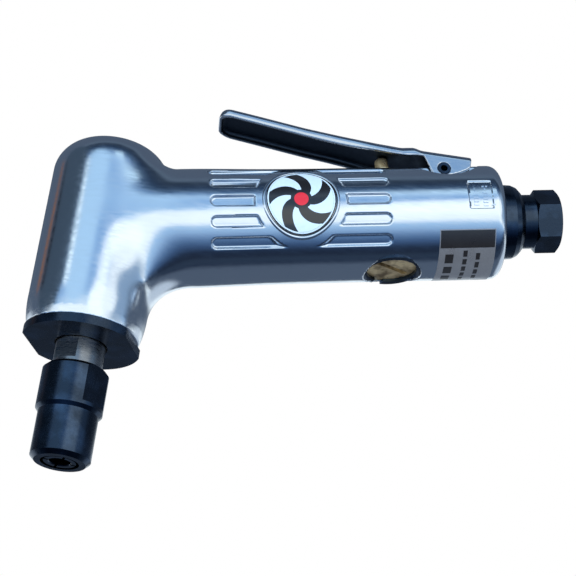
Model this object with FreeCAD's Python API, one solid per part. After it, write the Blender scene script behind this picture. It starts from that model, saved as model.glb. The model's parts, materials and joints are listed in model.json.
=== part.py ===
"""Angle air die grinder, gearless: an air motor in an upright head drives the collet directly.

Millimetres. The spindle turns about Z, the collet opens downwards (-Z), and the origin is on
its axis where the gripping bore starts, just inside the mouth. The handle leaves the head
towards +X and rises by HANDLE_TILT.
Parts of the handle are drawn in the handle's own frame, where X runs along the handle from the
spindle axis, Z points to the lever side and Y is shared, and in_handle() puts them in place.
"""

import FreeCAD
import Part
import math
import os

from FreeCAD import Placement, Rotation, Vector

# Head and handle
HANDLE_TILT = 10.0
AXES_MEET_Z = 76.2
SEAM_REACH = 30.0
HEAD_R = 18.3
HEAD_BOTTOM_Z = 39.5
HEAD_TOP_Z = 104.0
HEAD_TOP_ROUND = 9.0
HANDLE_R = 18.0
HANDLE_END = 124.6
HANDLE_END_ROUND = 3.5
NECK_ROUND = 5.0

# Air motor, stacked in the head's bore
MOTOR_R = 15.0
FIT_GAP = 0.02
MOTOR_TOP_Z = 96.0
LOWER_PLATE_Z = 46.0
CYLINDER_Z = 58.0
UPPER_PLATE_Z = 84.0
CYLINDER_BORE_R = 11.5
CYLINDER_OFFSET = 1.5
ROTOR_R = 9.8
ROTOR_END_GAP = 0.3
VANE_COUNT = 4
VANE_THICK = 1.6
VANE_DEPTH = 4.5
DOWEL_X = -12.7
DOWEL_R = 1.0
DOWEL_LOW_Z = 55.5
DOWEL_HIGH_Z = 86.5
UPPER_PLATE_TOP_Z = 94.4
FEED_Z = 5.0
EXHAUST_R = 2.4
EXHAUST_Y = 12.6
EXHAUST_LENGTH = 116.0
PORT_ANGLE = 52
PORT_HEIGHTS = (66, 71, 76)

# Ball bearings: inner radius, outer radius, width, height of the lower face
LOWER_BEARING = dict(inner=5.0, outer=13.0, width=8.0, z=46.0, ball=2.3, count=7)
UPPER_BEARING = dict(inner=4.0, outer=11.0, width=7.0, z=87.0, ball=2.0, count=7)
RACE_GAP = 0.12

# Lock ring under the head
RING_Z = 36.8
RING_R = 17.9
RING_FLAT = 16.0
RING_TURN = -13.5
RING_BORE_R = 8.05
SEAL_Z = 38.5
SEAL_TOP_Z = 41.0
SEAL_R = 9.5
RING_GROOVE_Z = (42.2, 43.8)

# Spindle, collet and collet nut
NOSE_Z = 12.0
NOSE_R = 7.45
NECK_R = 7.5
NECK_FLAT = 6.35
NECK_TURN = 56
NECK_FLAT_Z = 30.2
NUT_BOTTOM_Z = -0.5
NUT_STEP_Z = 14.9
NUT_TOP_Z = 28.7
NUT_LOWER_R = 9.03
NUT_UPPER_R = 10.0
NUT_FLAT = 8.73
NUT_TURN = -35.6
NUT_MOUTH_R = 5.75
COLLET_BORE_R = 3.2
COLLET_FACE_R = 4.85
COLLET_FACE_Z = -0.3
COLLET_BELLY_R = 6.85
COLLET_TAIL_Z = 24.0
COLLET_NECK_R = 6.55
COLLET_TAIL_R = 5.1
COLLET_CONE_Z = 8.0

# Throttle valve, across the handle
VALVE_X = 89.5
STEM_R = 2.15
STEM_TOP = 23.7
SEAT_Z = 0.0
REGULATOR_R = 8.85
REGULATOR_BORE_R = 8.95
REGULATOR_FACE = -15.2
REGULATOR_BACK = -11.2
CHAMBER_R = 6.3
GUIDE_R = 4.5
GUIDE_LOW = 9.0
SEAT_HIGH = 3.0
POPPET_LOW = -3.4
SEAL_LOW = SEAT_Z - 0.8
PLUG_CUP = 2.0
SLOT_TURN = 40
CLIP_TURN = 115
SUPPLY_R = 4.5
SUPPLY_Z = -3.5

# Throttle lever and its pin
PIN_X = 107.9
PIN_Z = 15.2
PIN_R = 2.0
BOSS_HALF = 7.1
CHEEK_IN = 7.4
CHEEK_OUT = 8.8
POCKET_X = 108.3
POCKET_Z = 21.0
POCKET_R = 11.4
SHEET = 1.2
LEVER_TIP_X = 37.6
LEVER_TIP_Z = 37.4
LEVER_SLOPE = 17.2
LEVER_HALF = 7.7
LEVER_RISE = 4.5
LEVER_CORNER = 6.0
LEVER_FOLD = 2.2
ARCH_LENGTH = 59.5

# Air inlet and exhaust at the handle's rear
THREAD_START = 105.0
THREAD_R = 8.2
PLENUM_START = 118.6
PLENUM_R = 13.2
BUSHING_NECK_R = 8.6
HEX_START = 136.0
HEX_END = 144.0
HEX_FLATS = 17.46
HEX_TURN = -65
INLET_R = 5.6
SCREEN_X = 131.8
SCREEN_THICK = 0.8
SCREEN_R = 5.3
EXHAUST_RING_R = 12.0

# Badge, flutes, panel and label on the handle's sides
BADGE_X = 60.7
BADGE_R = 10.8
BEZEL_R = 11.95
BEZEL_RISE = 0.55
FLUTE_CLEAR_R = 14.2
FLUTE_REACH = 27.6
FLUTE_WIDTH = 3.4
FLUTE_DEPTH = 0.7
FLUTE_STEP = 21.0
PANEL_X = 112.7
PANEL_LENGTH = 7.3
PANEL_DEPTH = 0.4
PANEL_ANGLES = (-12.5, 31.3)
BADGE_THICK = 0.35
LABEL_X = 103.0
LABEL_LENGTH = 17.5
LABEL_THICK = 0.12
LABEL_ANGLES = (-112, 79)

X_AXIS = Vector(1, 0, 0)
Y_AXIS = Vector(0, 1, 0)
Z_AXIS = Vector(0, 0, 1)
ORIGIN = Vector(0, 0, 0)


# ---------------------------------------------------------------- helpers
def in_handle(shape):
    """Moves a shape from the handle's frame into the object's frame."""
    placed = shape.copy()
    handle = Placement(Vector(0, 0, AXES_MEET_Z), Rotation(Y_AXIS, -HANDLE_TILT))
    placed.Placement = handle * placed.Placement
    return placed


def turned(corners):
    """Solid of revolution about Z through (radius, height) corners."""
    points = [Vector(radius, 0, height) for radius, height in corners]
    wire = Part.makePolygon(points + points[:1])
    return Part.Face(wire).revolve(ORIGIN, Z_AXIS, 360)


def tube(inner, outer, low, high):
    return turned([(inner, low), (outer, low), (outer, high), (inner, high)])


def rod(radius, low, high):
    return Part.makeCylinder(radius, high - low, Vector(0, 0, low))


def lying(shape):
    """Turns a shape drawn about Z so that it lies along X."""
    placed = shape.copy()
    placed.rotate(ORIGIN, Y_AXIS, 90)
    return placed


def at_valve(shape):
    """Moves a shape drawn about Z onto the throttle valve's axis."""
    placed = shape.copy()
    placed.translate(Vector(VALVE_X, 0, 0))
    return in_handle(placed)


def across(radius, x, z, half):
    """A rod along Y in the handle's frame."""
    return Part.makeCylinder(radius, 2 * half, Vector(x, -half, z), Y_AXIS)


def ring_of(shape, count, axis=Z_AXIS):
    """Copies of a shape, evenly spaced about an axis."""
    copies = []
    for index in range(count):
        copy = shape.copy()
        copy.rotate(ORIGIN, axis, 360.0 * index / count)
        copies.append(copy)
    return copies


def o_ring(major, cord, height):
    ring = Part.makeTorus(major, cord)
    ring.translate(Vector(0, 0, height))
    return ring


def flats(shape, distance, turn, low, high):
    """Cuts two opposed flats at a distance from the axis between two heights."""
    size = 60.0
    for side in (0, 180):
        block = Part.makeBox(size, size, high - low, Vector(distance, -size / 2, low))
        block.rotate(ORIGIN, Z_AXIS, turn + side)
        shape = shape.cut(block)
    return shape


def slab(outline, half):
    """A plate of (x, z) edges, centred on Y = 0."""
    face = Part.Face(Part.Wire(outline))
    face.translate(Vector(0, -half, 0))
    return face.extrude(Vector(0, 2 * half, 0))


def lines(*corners):
    """Straight edges through (x, z) corners."""
    points = [Vector(x, 0, z) for x, z in corners]
    return [Part.makeLine(a, b) for a, b in zip(points, points[1:])]


def bow(start, middle, end):
    """An arc through three (x, z) points."""
    return Part.Arc(*[Vector(x, 0, z) for x, z in (start, middle, end)]).toShape()


# ---------------------------------------------------------------- housing
def housing_body():
    head = rod(HEAD_R, HEAD_BOTTOM_Z, HEAD_TOP_Z)
    handle = Part.makeCylinder(HANDLE_R, HANDLE_END, ORIGIN, X_AXIS)
    rear = [edge for edge in handle.Edges if abs(edge.CenterOfMass.x - HANDLE_END) < 0.1]
    handle = handle.makeFillet(HANDLE_END_ROUND, rear)
    body = head.fuse(in_handle(handle))
    seam = [
        edge
        for edge in body.Edges
        if edge.Curve.TypeId not in ("Part::GeomCircle", "Part::GeomLine")
        and edge.BoundBox.XMax < SEAM_REACH
    ]
    body = body.makeFillet(NECK_ROUND, seam)
    top = [
        edge
        for edge in body.Edges
        if abs(edge.BoundBox.ZMin - HEAD_TOP_Z) < 0.01 and edge.Curve.TypeId == "Part::GeomCircle"
    ]
    return body.makeFillet(HEAD_TOP_ROUND, top)


def side_cylinder(radius):
    """A rod through both sides of the handle at the badge."""
    return across(radius, BADGE_X, 0, 30)


def flutes():
    """Rows of shallow rounded slots before and behind each badge."""
    cutters = []
    for side in (-90, 90):
        for row in range(-2, 3):
            for end in (-1, 1):
                cutters.append(flute(end, side + row * FLUTE_STEP))
    return cutters


def flute(end, angle):
    half = FLUTE_WIDTH / 2
    height = 6.0
    floor = HANDLE_R - FLUTE_DEPTH
    far = BADGE_X + end * (FLUTE_REACH - half)
    near = BADGE_X
    low = min(far, near)
    bar = Part.makeBox(abs(far - near), FLUTE_WIDTH, height, Vector(low, -half, floor))
    cap = Part.makeCylinder(half, height, Vector(far, 0, floor))
    cutter = bar.fuse(cap)
    cutter.rotate(ORIGIN, X_AXIS, angle)
    return cutter.cut(side_cylinder(FLUTE_CLEAR_R))


def bezels():
    """Raised rims around both badges."""
    band = Part.makeCylinder(HANDLE_R + BEZEL_RISE, 30, Vector(BADGE_X - 15, 0, 0), X_AXIS)
    band = band.cut(Part.makeCylinder(HANDLE_R - 1, 30, Vector(BADGE_X - 15, 0, 0), X_AXIS))
    rim = side_cylinder(BEZEL_R).cut(side_cylinder(BADGE_R))
    return band.common(rim)


def sector(inner, outer, start, length, angle, sweep):
    """Part of a sleeve around the handle; angles from the near side, positive upwards."""
    block = Part.makeBox(length, 0.001, outer - inner, Vector(start, 0, inner))
    face = [f for f in block.Faces if abs(f.normalAt(0, 0).y + 1) < 1e-6][0]
    solid = face.revolve(ORIGIN, X_AXIS, -sweep)
    solid.rotate(ORIGIN, X_AXIS, 90 - angle)
    return solid


def lever_pocket():
    """Room for the lever's cheeks beside the central boss."""
    pocket = across(POCKET_R, POCKET_X, POCKET_Z, 20)
    keep = Part.makeBox(40, 2 * BOSS_HALF, 40, Vector(90, -BOSS_HALF, 0))
    return pocket.cut(keep)


def lever_boss():
    """The raised ear that carries the lever's pin."""
    ear = across(PIN_R + 1.5, PIN_X, PIN_Z, BOSS_HALF)
    foot = Part.makeBox(7, 2 * BOSS_HALF, 5, Vector(PIN_X - 3.5, -BOSS_HALF, PIN_Z - 5))
    return ear.fuse(foot)


def valve_bore():
    steps = rod(GUIDE_R, GUIDE_LOW, 22).fuse(rod(5, SEAT_HIGH, GUIDE_LOW + 0.5))
    steps = steps.fuse(rod(CHAMBER_R, REGULATOR_BACK - 0.5, SEAT_HIGH))
    steps = steps.fuse(rod(REGULATOR_BORE_R, -22, REGULATOR_BACK))
    groove = rod(REGULATOR_BORE_R + 0.75, REGULATOR_FACE - 1.15, REGULATOR_FACE - 0.05)
    return at_valve(steps.fuse(groove))


def air_passages():
    feed = Part.makeCylinder(4, VALVE_X - 10, Vector(10, 0, FEED_Z), X_AXIS)
    length = THREAD_START - VALVE_X + 1
    supply = Part.makeCylinder(SUPPLY_R, length, Vector(VALVE_X, 0, SUPPLY_Z), X_AXIS)
    thread = Part.makeCylinder(THREAD_R, 40, Vector(THREAD_START, 0, 0), X_AXIS)
    plenum = Part.makeCylinder(PLENUM_R, 10, Vector(PLENUM_START, 0, 0), X_AXIS)
    passages = feed.multiFuse([supply, thread, plenum])
    for side in (-1, 1):
        start = Vector(6, EXHAUST_Y * side, 0)
        exhaust = Part.makeCylinder(EXHAUST_R, EXHAUST_LENGTH, start, X_AXIS)
        passages = passages.fuse(exhaust)
    return in_handle(passages)


def housing():
    body = housing_body()
    body = body.fuse(in_handle(bezels()))
    details = [in_handle(cutter) for cutter in flutes()]
    details.append(in_handle(lever_pocket()))
    panel = sector(HANDLE_R - PANEL_DEPTH, HANDLE_R + 1, PANEL_X, PANEL_LENGTH, *PANEL_ANGLES)
    details.append(in_handle(panel))
    body = body.cut(Part.makeCompound(details))
    body = body.fuse(in_handle(lever_boss()))
    body = body.cut(in_handle(across(PIN_R, PIN_X, PIN_Z, 20)))
    body = body.cut(rod(MOTOR_R, 30, MOTOR_TOP_Z))
    body = body.cut(valve_bore())
    return body.cut(air_passages())


# ---------------------------------------------------------------- head parts
def lock_ring():
    ring = rod(RING_R, RING_Z, HEAD_BOTTOM_Z)
    ring = flats(ring, RING_FLAT, RING_TURN, RING_Z - 1, HEAD_BOTTOM_Z + 1)
    ring = ring.fuse(rod(MOTOR_R - FIT_GAP, HEAD_BOTTOM_Z - 1, LOWER_PLATE_Z))
    ring = ring.cut(rod(RING_BORE_R, RING_Z - 1, SEAL_Z))
    ring = ring.cut(rod(SEAL_R, SEAL_Z, LOWER_PLATE_Z + 1))
    groove = tube(13.4, MOTOR_R + 1, *RING_GROOVE_Z)
    return ring.cut(groove)


def lock_ring_seal():
    return o_ring(14.15, 0.75, sum(RING_GROOVE_Z) / 2)


def spindle_seal():
    return tube(NECK_R + 0.08, SEAL_R, SEAL_Z, SEAL_TOP_Z)


def dowel_hole(low, high):
    return Part.makeCylinder(DOWEL_R, high - low, Vector(DOWEL_X, 0, low))


def lower_end_plate():
    plate = rod(MOTOR_R - FIT_GAP, LOWER_PLATE_Z, CYLINDER_Z)
    plate = plate.cut(rod(LOWER_BEARING["outer"], LOWER_PLATE_Z - 1, bearing_top(LOWER_BEARING)))
    plate = plate.cut(rod(6.9, LOWER_PLATE_Z, CYLINDER_Z + 1))
    return plate.cut(dowel_hole(DOWEL_LOW_Z, CYLINDER_Z))


def motor_cylinder():
    sleeve = rod(MOTOR_R - FIT_GAP, CYLINDER_Z, UPPER_PLATE_Z)
    height = UPPER_PLATE_Z - CYLINDER_Z + 2
    bore = Part.makeCylinder(CYLINDER_BORE_R, height, Vector(CYLINDER_OFFSET, 0, CYLINDER_Z - 1))
    sleeve = sleeve.cut(bore)
    sleeve = sleeve.cut(dowel_hole(CYLINDER_Z, UPPER_PLATE_Z))
    ports = [in_handle(Part.makeCylinder(3, 12, Vector(8, 0, FEED_Z), X_AXIS))]
    for angle in (-PORT_ANGLE, PORT_ANGLE):
        for z in PORT_HEIGHTS:
            port = Part.makeCylinder(1.8, 12, Vector(8, 0, z), X_AXIS)
            port.rotate(ORIGIN, Z_AXIS, angle)
            ports.append(port)
    return sleeve.cut(Part.makeCompound(ports))


def upper_end_plate():
    plate = rod(MOTOR_R - FIT_GAP, UPPER_PLATE_Z, UPPER_PLATE_TOP_Z)
    plate = plate.cut(rod(UPPER_BEARING["outer"], UPPER_BEARING["z"], MOTOR_TOP_Z))
    plate = plate.cut(rod(4.9, UPPER_PLATE_Z - 1, UPPER_BEARING["z"]))
    return plate.cut(dowel_hole(UPPER_PLATE_Z, DOWEL_HIGH_Z))


def cylinder_dowel():
    return dowel_hole(DOWEL_LOW_Z, DOWEL_HIGH_Z)


def wave_washer():
    return tube(11.6, 14.6, UPPER_PLATE_TOP_Z, MOTOR_TOP_Z)


def bearing_middle(bearing):
    return bearing["z"] + bearing["width"] / 2


def bearing_top(bearing):
    return bearing["z"] + bearing["width"]


def pitch_radius(bearing):
    return (bearing["inner"] + bearing["outer"]) / 2


def race_groove(bearing):
    groove = Part.makeTorus(pitch_radius(bearing), bearing["ball"] + RACE_GAP)
    groove.translate(Vector(0, 0, bearing_middle(bearing)))
    return groove


def race(bearing, inner, outer):
    band = tube(inner, outer, bearing["z"], bearing["z"] + bearing["width"])
    return band.cut(race_groove(bearing))


def outer_race(bearing):
    return race(bearing, pitch_radius(bearing) + 0.6 * bearing["ball"], bearing["outer"])


def inner_race(bearing):
    return race(bearing, bearing["inner"], pitch_radius(bearing) - 0.6 * bearing["ball"])


def balls(bearing):
    place = Vector(pitch_radius(bearing), 0, bearing_middle(bearing))
    ball = Part.makeSphere(bearing["ball"], place)
    return Part.makeCompound(ring_of(ball, bearing["count"]))


def ball_cage(bearing):
    middle = bearing_middle(bearing)
    pitch = pitch_radius(bearing)
    thick, half = 0.7, 2.9
    band = tube(pitch - thick, pitch + thick, middle - half, middle + half)
    pocket = Part.makeCylinder(bearing["ball"] + 0.1, 6, Vector(pitch - 3, 0, middle), X_AXIS)
    return band.cut(Part.makeCompound(ring_of(pocket, bearing["count"])))


# ---------------------------------------------------------------- spindle group
def spindle():
    shaft = turned(
        [
            (0, NOSE_Z), (NOSE_R, NOSE_Z), (NOSE_R, NUT_TOP_Z), (NECK_R, NUT_TOP_Z),
            (NECK_R, 44), (6.4, 44), (6.4, 46), (5, 46), (5, 83.7), (4, 83.7), (4, 93.6), (0, 93.6),
        ]
    )
    shaft = flats(shaft, NECK_FLAT, NECK_TURN, NECK_FLAT_Z, RING_Z - 0.6)
    shaft = shaft.cut(collet_taper(0.05))
    return shaft.cut(rod(3.4, 20, 40))


def collet_taper(gap):
    """The cone in the spindle that the collet's tail sits in."""
    top = COLLET_TAIL_Z + gap
    corners = [(0, COLLET_CONE_Z), (COLLET_NECK_R + gap, COLLET_CONE_Z), (COLLET_TAIL_R + gap, top)]
    return turned(corners + [(0, top)])


def collet():
    body = turned(
        [
            (0, COLLET_FACE_Z), (COLLET_FACE_R, COLLET_FACE_Z), (COLLET_FACE_R, 1.2), (COLLET_BELLY_R, 5.2),
            (COLLET_BELLY_R, 7), (COLLET_NECK_R, COLLET_CONE_Z), (COLLET_TAIL_R, COLLET_TAIL_Z),
            (0, COLLET_TAIL_Z),
        ]
    )
    mouth = turned([(0, -1), (COLLET_BORE_R + 1, -1), (COLLET_BORE_R, 0), (0, 0)])
    body = body.cut(rod(COLLET_BORE_R, -1, COLLET_TAIL_Z + 1)).cut(mouth)
    slit = Part.makeBox(12, 0.8, 18.5, Vector(0, -0.4, -1))
    slit.rotate(ORIGIN, Z_AXIS, 20)
    return body.cut(Part.makeCompound(ring_of(slit, 4)))


def collet_nut():
    chamfer = 1.1
    nut = turned(
        [
            (0, NUT_BOTTOM_Z), (7.7, NUT_BOTTOM_Z), (NUT_LOWER_R, 0.8), (NUT_LOWER_R, NUT_STEP_Z - 0.6),
            (NUT_UPPER_R, NUT_STEP_Z + 0.5), (NUT_UPPER_R, NUT_TOP_Z - chamfer),
            (NUT_UPPER_R - chamfer, NUT_TOP_Z), (0, NUT_TOP_Z),
        ]
    )
    nut = flats(nut, NUT_FLAT, NUT_TURN, NUT_STEP_Z + 1.6, NUT_TOP_Z + 1)
    inside = turned(
        [
            (0, NUT_BOTTOM_Z - 1), (NUT_MOUTH_R, NUT_BOTTOM_Z - 1), (NUT_MOUTH_R, 2.75),
            (COLLET_BELLY_R + 0.1, 4.95), (COLLET_BELLY_R + 0.1, 7.2), (7.5, 7.9),
            (7.5, NUT_TOP_Z + 1), (0, NUT_TOP_Z + 1),
        ]
    )
    return nut.cut(inside)


def spindle_spacer():
    return tube(5, 6.4, 54, CYLINDER_Z + ROTOR_END_GAP)


def vane_slots(depth, low, high):
    slot = Part.makeBox(depth, VANE_THICK, high - low, Vector(ROTOR_R - depth, -VANE_THICK / 2, low))
    return ring_of(slot, VANE_COUNT)


def rotor():
    low = CYLINDER_Z + ROTOR_END_GAP
    high = UPPER_PLATE_Z - ROTOR_END_GAP
    core = tube(5, ROTOR_R, low, high)
    return core.cut(Part.makeCompound(vane_slots(VANE_DEPTH, low - 1, high + 1)))


def rotor_vanes():
    low = CYLINDER_Z + ROTOR_END_GAP
    high = UPPER_PLATE_Z - ROTOR_END_GAP
    round_off = rod(ROTOR_R - 0.05, low, high)
    vanes = [vane.common(round_off) for vane in vane_slots(VANE_DEPTH - 0.4, low, high)]
    return Part.makeCompound(vanes)


# ---------------------------------------------------------------- throttle valve
def valve_guide():
    guide = tube(STEM_R + 0.05, GUIDE_R, GUIDE_LOW, 18.3)
    return at_valve(guide.cut(tube(STEM_R, 3.8, 13.2, 14.9)))


def stem_o_ring():
    return at_valve(o_ring(3.05, 0.74, 14.05))


def valve_seat():
    return at_valve(tube(3.4, CHAMBER_R, SEAT_Z, SEAT_HIGH))


def valve_stem():
    stem = rod(STEM_R, POPPET_LOW, STEM_TOP)
    top = [e for e in stem.Edges if abs(e.BoundBox.ZMin - STEM_TOP) < 0.01 and e.Closed]
    return at_valve(stem.makeFillet(1.5, top[:1]))


def valve_poppet():
    return at_valve(tube(STEM_R, 4.8, POPPET_LOW, SEAL_LOW))


def poppet_seal():
    return at_valve(tube(STEM_R, 4.6, SEAL_LOW, SEAT_Z - 0.1))


def valve_spring():
    wire_r = 0.4
    radius = 3.5
    low = REGULATOR_BACK - PLUG_CUP + wire_r + 0.05
    height = POPPET_LOW - wire_r - 0.05 - low
    helix = Part.makeHelix(height / 5.0, height, radius)
    section = Part.Wire(Part.makeCircle(wire_r, Vector(radius, 0, 0), Y_AXIS))
    spring = Part.Wire(helix).makePipeShell([section], True, True)
    spring.translate(Vector(0, 0, low))
    return at_valve(spring)


def regulator():
    plug = rod(REGULATOR_R, REGULATOR_FACE, REGULATOR_BACK)
    plug = plug.cut(rod(4.3, REGULATOR_BACK - PLUG_CUP, REGULATOR_BACK + 1))
    plug = plug.cut(tube(7.2, 10, -13.7, -12.1))
    slot = Part.makeBox(13.0, 1.7, 1.4, Vector(-6.5, -0.85, REGULATOR_FACE - 0.1))
    slot.rotate(ORIGIN, Z_AXIS, SLOT_TURN)
    return at_valve(plug.cut(slot))


def regulator_o_ring():
    return at_valve(o_ring(8.0, 0.74, -12.9))


def regulator_clip():
    clip = tube(7.75, REGULATOR_BORE_R + 0.7, REGULATOR_FACE - 1.1, REGULATOR_FACE - 0.1)
    gap = Part.makeBox(12, 3.0, 4, Vector(0, -1.5, REGULATOR_FACE - 3))
    gap.rotate(ORIGIN, Z_AXIS, CLIP_TURN)
    return at_valve(clip.cut(gap))


# ---------------------------------------------------------------- throttle lever
def lever_arch():
    """The finger rest: sheet curved over, straight along its length, with a rounded tip."""
    radius = (LEVER_HALF**2 + LEVER_RISE**2) / (2 * LEVER_RISE)
    centre = LEVER_RISE - radius
    outer = Part.makeCylinder(radius, ARCH_LENGTH, Vector(0, 0, centre), X_AXIS)
    inner = Part.makeCylinder(radius - SHEET, ARCH_LENGTH, Vector(0, 0, centre), X_AXIS)
    plan = Part.makeBox(ARCH_LENGTH, 2 * LEVER_HALF, 10, Vector(0, -LEVER_HALF, 0))
    corners = [
        e for e in plan.Edges if abs(e.BoundBox.XMax) < 0.01 and e.BoundBox.ZLength > 9
    ]
    plan = plan.makeFillet(LEVER_CORNER, corners)
    arch = outer.cut(inner).common(plan)
    arch.rotate(ORIGIN, Y_AXIS, LEVER_SLOPE)
    arch.translate(Vector(LEVER_TIP_X, 0, LEVER_TIP_Z))
    return arch


def lever_bracket():
    """The folded rear of the lever: a web over the boss and a cheek on each side."""
    outline = lines((105, 12.7), (103.8, 13.5), (101.4, 19.6), (92, 21.4), (92, 24.3), (117, 19.6))
    outline += lines((117, 19.6), (117, 15.4))
    outline.append(bow((117, 15.4), (111.4, 12.7), (105, 12.7)))
    block = slab(outline, CHEEK_OUT)
    folds = [
        e
        for e in block.Edges
        if e.BoundBox.XLength > 20 and e.BoundBox.YLength < 0.01 and e.BoundBox.ZMax > 23
    ]
    block = block.makeFillet(LEVER_FOLD, folds)
    room = slab(lines((90, 5), (90, 23.25), (119, 17.8), (119, 5), (90, 5)), CHEEK_IN)
    return block.cut(room)


def throttle_lever():
    lever = lever_arch().fuse(lever_bracket())
    lever = lever.cut(across(PIN_R + 0.05, PIN_X, PIN_Z, 20))
    return in_handle(lever)


def lever_pin():
    pin = across(PIN_R, PIN_X, PIN_Z, CHEEK_OUT)
    return in_handle(pin.cut(across(1.1, PIN_X, PIN_Z, 20)))


# ---------------------------------------------------------------- rear end
def hexagon(start, end):
    corner = HEX_FLATS / 2 / math.cos(math.radians(30))
    points = []
    for index in range(7):
        angle = math.radians(60 * index + 30)
        points.append(Vector(corner * math.cos(angle), corner * math.sin(angle), start))
    prism = Part.Face(Part.makePolygon(points)).extrude(Vector(0, 0, end - start))
    bevel = 0.8
    small = HEX_FLATS / 2 - 0.2
    blank = turned(
        [
            (0, start), (small, start), (corner + 0.1, start + bevel), (corner + 0.1, end - bevel),
            (small, end), (0, end),
        ]
    )
    prism = prism.common(blank)
    prism.rotate(ORIGIN, Z_AXIS, HEX_TURN)
    return prism


def inlet_bushing():
    body = rod(THREAD_R - FIT_GAP, THREAD_START + 1.5, PLENUM_START)
    body = body.fuse(rod(BUSHING_NECK_R, PLENUM_START, HEX_START))
    body = body.fuse(hexagon(HEX_START, HEX_END))
    body = body.cut(rod(4.5, THREAD_START, SCREEN_X))
    body = body.cut(rod(SCREEN_R, SCREEN_X, SCREEN_X + SCREEN_THICK))
    body = body.cut(rod(INLET_R, SCREEN_X + SCREEN_THICK, HEX_END + 1))
    return in_handle(lying(body))


def inlet_o_ring():
    return in_handle(lying(o_ring(6.6, 0.7, THREAD_START + 0.75)))


def inlet_screen():
    disc = rod(SCREEN_R - FIT_GAP, SCREEN_X, SCREEN_X + SCREEN_THICK)
    hole = Part.makeCylinder(0.9, 4, Vector(3.2, 0, SCREEN_X - 1))
    holes = ring_of(hole, 6) + [Part.makeCylinder(0.9, 4, Vector(0, 0, SCREEN_X - 1))]
    return in_handle(lying(disc.cut(Part.makeCompound(holes))))


def exhaust_muffler():
    return in_handle(lying(tube(BUSHING_NECK_R, PLENUM_R, PLENUM_START + 0.4, HANDLE_END)))


def exhaust_ring():
    ring = tube(BUSHING_NECK_R, EXHAUST_RING_R, HANDLE_END, HANDLE_END + 1.2)
    hole = Part.makeCylinder(0.7, 4, Vector(10.6, 0, HANDLE_END - 1))
    return in_handle(lying(ring.cut(Part.makeCompound(ring_of(hole, 12)))))


def exhaust_cap():
    start = HANDLE_END + 1.2
    cap = turned(
        [
            (BUSHING_NECK_R, start), (11.9, start), (11.7, start + 3.0), (11.0, start + 4.6),
            (9.6, start + 5.9), (BUSHING_NECK_R, start + 6.4),
        ]
    )
    return in_handle(lying(cap))


# ---------------------------------------------------------------- trim
def side_badges():
    sleeve = Part.makeCylinder(HANDLE_R + BADGE_THICK, 30, Vector(BADGE_X - 15, 0, 0), X_AXIS)
    sleeve = sleeve.cut(Part.makeCylinder(HANDLE_R, 30, Vector(BADGE_X - 15, 0, 0), X_AXIS))
    return in_handle(sleeve.common(side_cylinder(BADGE_R - 0.05)))


def warning_label():
    film = sector(HANDLE_R, HANDLE_R + LABEL_THICK, LABEL_X, LABEL_LENGTH, *LABEL_ANGLES)
    return in_handle(film)


NODES = {
    "housing": housing,
    "lock_ring": lock_ring,
    "lock_ring_seal": lock_ring_seal,
    "spindle_seal": spindle_seal,
    "lower_end_plate": lower_end_plate,
    "motor_cylinder": motor_cylinder,
    "upper_end_plate": upper_end_plate,
    "cylinder_dowel": cylinder_dowel,
    "wave_washer": wave_washer,
    "lower_bearing_outer_race": lambda: outer_race(LOWER_BEARING),
    "lower_bearing_inner_race": lambda: inner_race(LOWER_BEARING),
    "lower_bearing_balls": lambda: balls(LOWER_BEARING),
    "lower_bearing_cage": lambda: ball_cage(LOWER_BEARING),
    "upper_bearing_outer_race": lambda: outer_race(UPPER_BEARING),
    "upper_bearing_inner_race": lambda: inner_race(UPPER_BEARING),
    "upper_bearing_balls": lambda: balls(UPPER_BEARING),
    "upper_bearing_cage": lambda: ball_cage(UPPER_BEARING),
    "spindle": spindle,
    "spindle_spacer": spindle_spacer,
    "rotor": rotor,
    "rotor_vanes": rotor_vanes,
    "collet": collet,
    "collet_nut": collet_nut,
    "valve_guide": valve_guide,
    "stem_o_ring": stem_o_ring,
    "valve_seat": valve_seat,
    "valve_stem": valve_stem,
    "valve_poppet": valve_poppet,
    "poppet_seal": poppet_seal,
    "valve_spring": valve_spring,
    "regulator": regulator,
    "regulator_o_ring": regulator_o_ring,
    "regulator_clip": regulator_clip,
    "throttle_lever": throttle_lever,
    "lever_pin": lever_pin,
    "inlet_bushing": inlet_bushing,
    "inlet_o_ring": inlet_o_ring,
    "inlet_screen": inlet_screen,
    "exhaust_muffler": exhaust_muffler,
    "exhaust_ring": exhaust_ring,
    "exhaust_cap": exhaust_cap,
    "side_badges": side_badges,
    "warning_label": warning_label,
}


def main():
    os.makedirs("parts", exist_ok=True)
    for name, build in NODES.items():
        shape = build()
        shape.exportStep(os.path.join("parts", name + ".step"))
        print(name, len(shape.Solids), round(shape.Volume, 1), shape.isValid())


main()
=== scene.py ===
"""Looks of the angle air die grinder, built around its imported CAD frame.

Blender works in metres. Skins of cast and pressed parts are worked out in millimetres in the
handle's frame: s runs along the handle from the spindle axis, y is shared with the row, and h
points to the lever side.
"""

import json
import math

import bmesh
import bpy
import numpy as np
from mathutils import Matrix, Vector


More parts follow.
